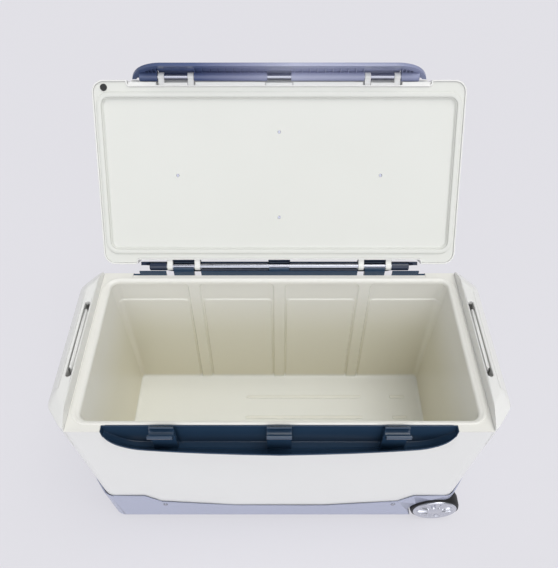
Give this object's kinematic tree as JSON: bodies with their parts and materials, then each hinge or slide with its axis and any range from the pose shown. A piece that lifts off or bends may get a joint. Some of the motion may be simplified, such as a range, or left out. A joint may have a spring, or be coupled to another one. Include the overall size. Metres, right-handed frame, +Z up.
{
  "type": "wheeled vaccine carrier",
  "caption": "Wheeled foam-insulated vaccine carrier with a lid that latches along both long sides on steel rods in claw rails, ribbed levers, sliding carry handles and a drain.",
  "frame": {"origin": "on the ground, midway between the two tyre bottoms' plane and the feet, under the middle of the box", "axes": "+X along the box towards the wheels, -Y towards the front, +Z up; stored with the lid open on its rear rod"},
  "size_m": [0.768, 0.5977, 0.7411],
  "materials": {
    "shell_plastic": "smooth moulded cream plastic",
    "liner_plastic": "smooth moulded cream plastic",
    "foam": "closed-cell foam",
    "skirt_plastic": "pearl grey-blue moulded plastic",
    "rail_plastic": "dark blue polished plastic",
    "lever_plastic": "slate blue polished plastic",
    "rod_steel": "drawn stainless rod",
    "cap_chrome": "bright silver plating",
    "tyre_rubber": "black moulded rubber",
    "trim_black": "black moulded plastic",
    "seal_rubber": "soft cream elastomer",
    "handle_plastic": "cream moulded plastic",
    "screw_steel": "zinc-plated screw"
  },
  "bodies": {
    "body": {"outer_shell": "shell_plastic", "inner_liner": "liner_plastic", "body_foam": "foam", "base_skirt": "skirt_plastic", "base_feet": "trim_black", "skirt_screws": "screw_steel", "wheel_axle": "rod_steel", "drain_spout": "shell_plastic", "front_hook_rail": "rail_plastic", "rear_hook_rail": "rail_plastic", "end_cap_left": "shell_plastic", "end_cap_right": "shell_plastic", "handle_cover_left": "shell_plastic", "handle_cover_right": "shell_plastic"},
    "lid": {"lid_outer_shell": "shell_plastic", "lid_inner_panel": "liner_plastic", "lid_seal": "seal_rubber", "lid_foam": "foam", "lid_vent_plugs": "screw_steel", "lid_bumper": "trim_black", "lid_rod_front": "rod_steel", "lid_rod_rear": "rod_steel"},
    "front_lever": {"lever_front": "lever_plastic"},
    "rear_lever": {"lever_rear": "lever_plastic"},
    "left_handle": {"carry_handle_left": "handle_plastic"},
    "right_handle": {"carry_handle_right": "handle_plastic"},
    "front_wheel": {"tyre_front": "tyre_rubber", "wheel_hub_front": "trim_black", "wheel_cap_front": "cap_chrome"},
    "rear_wheel": {"tyre_rear": "tyre_rubber", "wheel_hub_rear": "trim_black", "wheel_cap_rear": "cap_chrome"},
    "plug": {"drain_plug": "rail_plastic"}
  },
  "joints": [
    {"name": "lid_hinge", "type": "hinge", "parent": "body", "child": "lid", "pos_m": [0, 0.178, 0.417], "axis": [1, 0, 0], "range_deg": [0, 125.5]},
    {"name": "front_lever_hinge", "type": "hinge", "parent": "lid", "child": "front_lever", "pos_m": [0, 0.38473, 0.70683], "axis": [-1, 0, 0], "range_deg": [0, 30]},
    {"name": "rear_lever_hinge", "type": "hinge", "parent": "body", "child": "rear_lever", "pos_m": [0, 0.178, 0.417], "axis": [1, 0, 0], "range_deg": [0, 30]},
    {"name": "left_handle_slide", "type": "slide", "parent": "body", "child": "left_handle", "axis": [0, 0, 1], "range_m": [0, 0.064]},
    {"name": "right_handle_slide", "type": "slide", "parent": "body", "child": "right_handle", "axis": [0, 0, 1], "range_m": [0, 0.064]},
    {"name": "front_wheel_spin", "type": "hinge", "parent": "body", "child": "front_wheel", "pos_m": [0.323, -0.16, 0.05], "axis": [0, 1, 0], "continuous": true},
    {"name": "rear_wheel_spin", "type": "hinge", "parent": "body", "child": "rear_wheel", "pos_m": [0.323, 0.16, 0.05], "axis": [0, 1, 0], "continuous": true},
    {"name": "drain_plug_turn", "type": "hinge", "parent": "body", "child": "plug", "pos_m": [-0.37, 0, 0.094], "axis": [1, 0, 0], "range_deg": [0, 360]}
  ]
}
